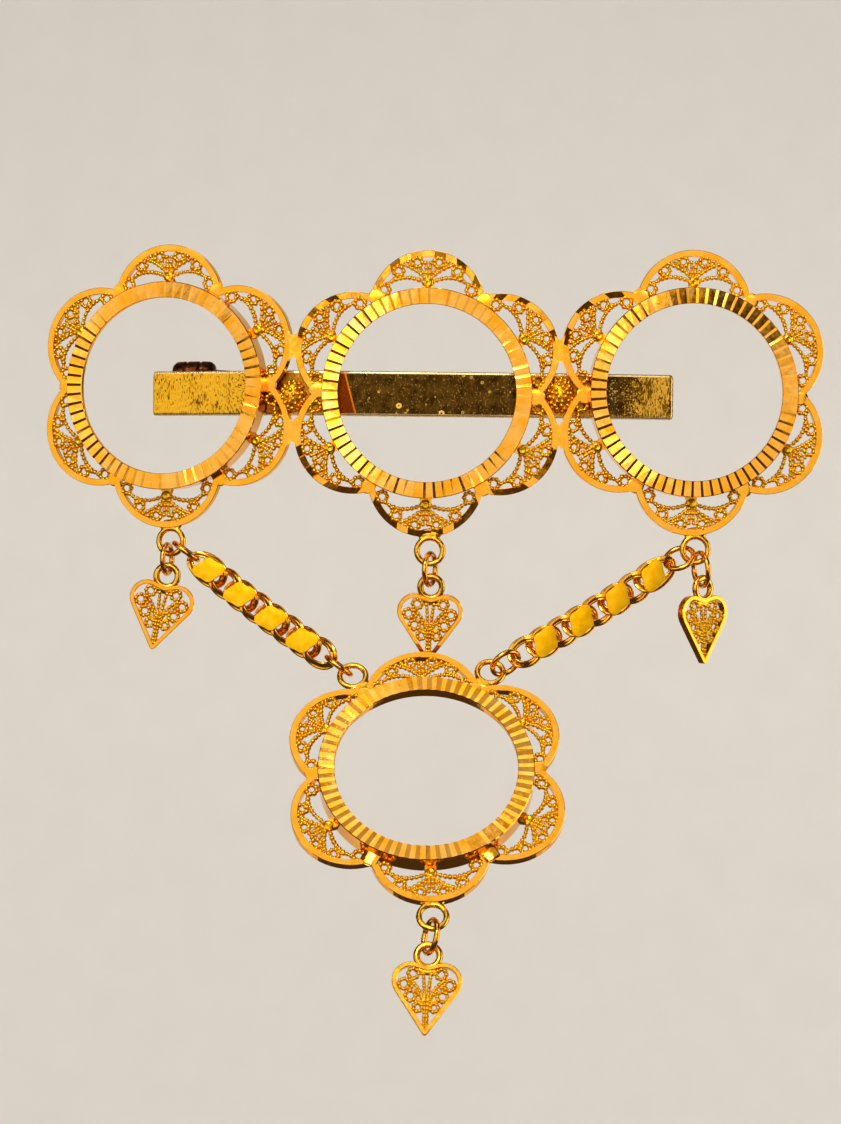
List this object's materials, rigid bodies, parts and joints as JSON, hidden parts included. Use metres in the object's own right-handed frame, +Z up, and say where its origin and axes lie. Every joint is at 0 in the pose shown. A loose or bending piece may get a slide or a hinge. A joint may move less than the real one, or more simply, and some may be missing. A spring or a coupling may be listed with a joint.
{
  "type": "coin brooch",
  "caption": "Gold brooch of flower-shaped filigree coin frames in a row on a pin bar, another hung below on plate chains, with heart drops; the coin settings are empty.",
  "frame": {"origin": "middle of the back face of the pin bar, where it lies on the cloth it is pinned to", "axes": "+Z up as worn; -Y towards the viewer, out of the brooch's face; +X to the viewer's right along the bar"},
  "size_m": [0.0923, 0.0364, 0.0889],
  "materials": {
    "gold": "polished, with granulation and fluted bezels",
    "bright_gold": "bright polish",
    "rosy_gold": "polished wire",
    "cast_gold": "cast skin, pitted and dulled",
    "pin_gold": "tarnished, drawn wire"
  },
  "bodies": {
    "root": {"frame_left": "gold", "frame_middle": "gold", "frame_right": "gold", "frame_drop": "gold", "back_bar": "cast_gold", "pin_clasp": "pin_gold", "heart_ring_left": "bright_gold", "heart_left": "gold", "heart_ring_middle": "bright_gold", "heart_middle": "gold", "heart_ring_right": "bright_gold", "heart_right": "gold", "heart_ring_bottom": "bright_gold", "heart_bottom": "gold", "chain_ring_left_top": "bright_gold", "chain_ring_left_bottom": "bright_gold", "chain_left_plate_1": "bright_gold", "chain_left_link_1": "rosy_gold", "chain_left_plate_2": "bright_gold", "chain_left_link_2": "rosy_gold", "chain_left_plate_3": "bright_gold", "chain_left_link_3": "rosy_gold", "chain_left_plate_4": "bright_gold", "chain_left_link_4": "rosy_gold", "chain_ring_right_top": "bright_gold", "chain_ring_right_bottom": "bright_gold", "chain_right_plate_1": "bright_gold", "chain_right_link_1": "rosy_gold", "chain_right_plate_2": "bright_gold", "chain_right_link_2": "rosy_gold", "chain_right_plate_3": "bright_gold", "chain_right_link_3": "rosy_gold", "chain_right_plate_4": "bright_gold", "chain_right_link_4": "rosy_gold"}
  },
  "joints": []
}
